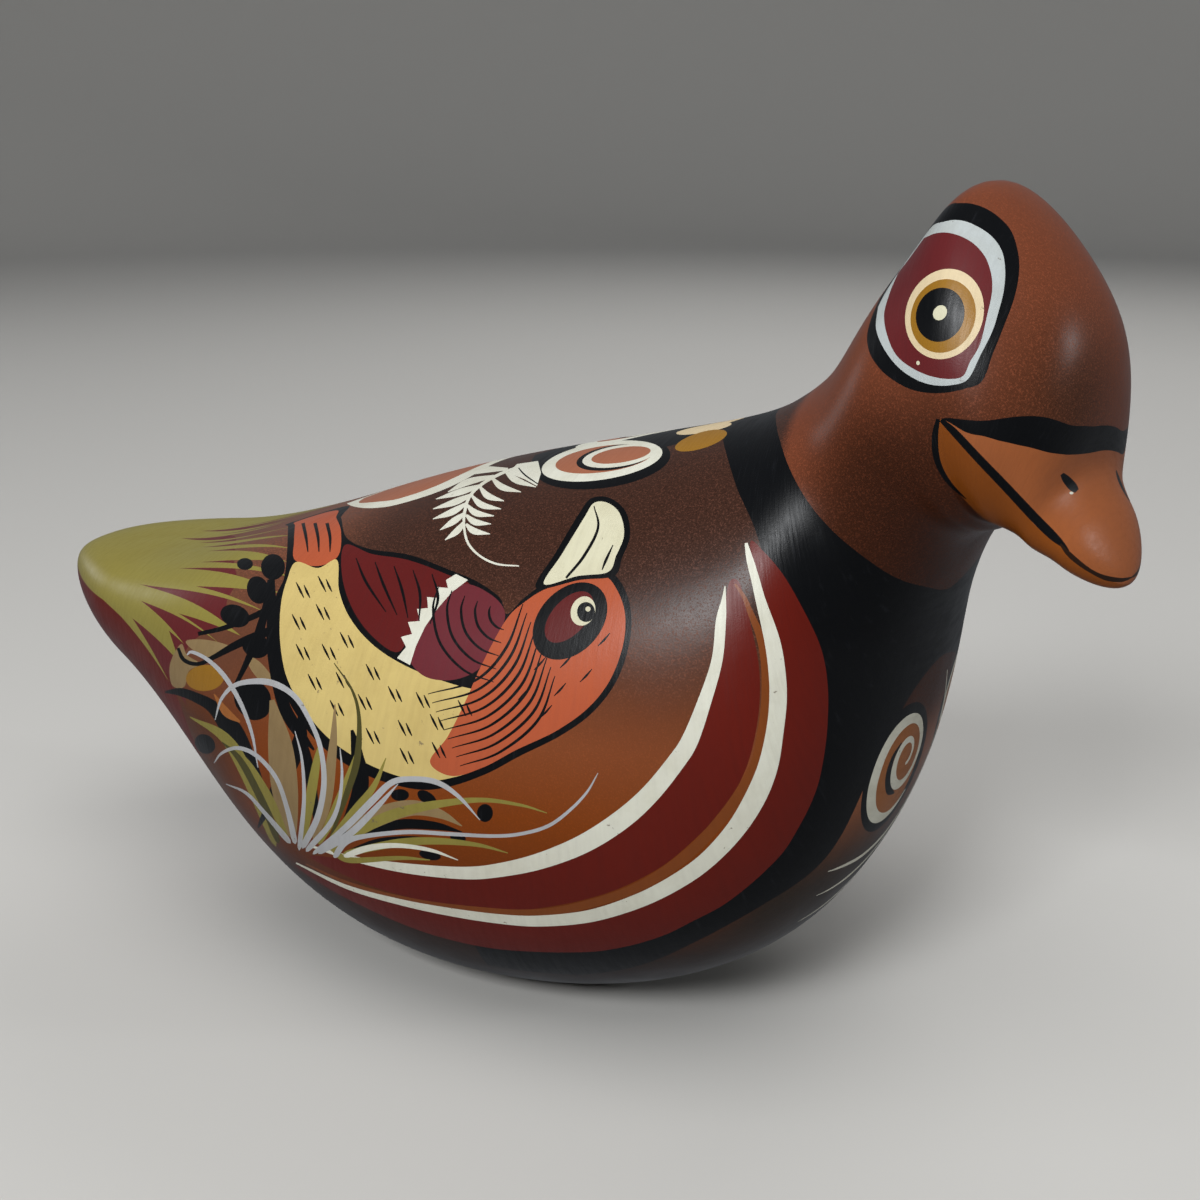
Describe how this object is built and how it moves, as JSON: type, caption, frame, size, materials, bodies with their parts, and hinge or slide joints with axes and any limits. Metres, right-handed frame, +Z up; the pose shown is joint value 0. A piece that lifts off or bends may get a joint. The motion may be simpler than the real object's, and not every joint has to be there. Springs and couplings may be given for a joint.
{
  "type": "pheasant figurine",
  "caption": "Hand-painted clay bird ornament with a pointed tail, round breast, high-crowned turned head and broad bill, standing on a small flat underside.",
  "frame": {"origin": "on the ground, under the middle of the bird's overall box", "axes": "+X towards the breast and bill, -Y the bird's right side, to which the head turns, +Z up"},
  "size_m": [0.2346, 0.1066, 0.1595],
  "materials": {
    "painted_clay": "burnished low-fired clay, hand-painted in browns, black, dark red, ochre and cream, satin sheen"
  },
  "bodies": {
    "root": {"bird_figurine": "painted_clay"}
  },
  "joints": []
}
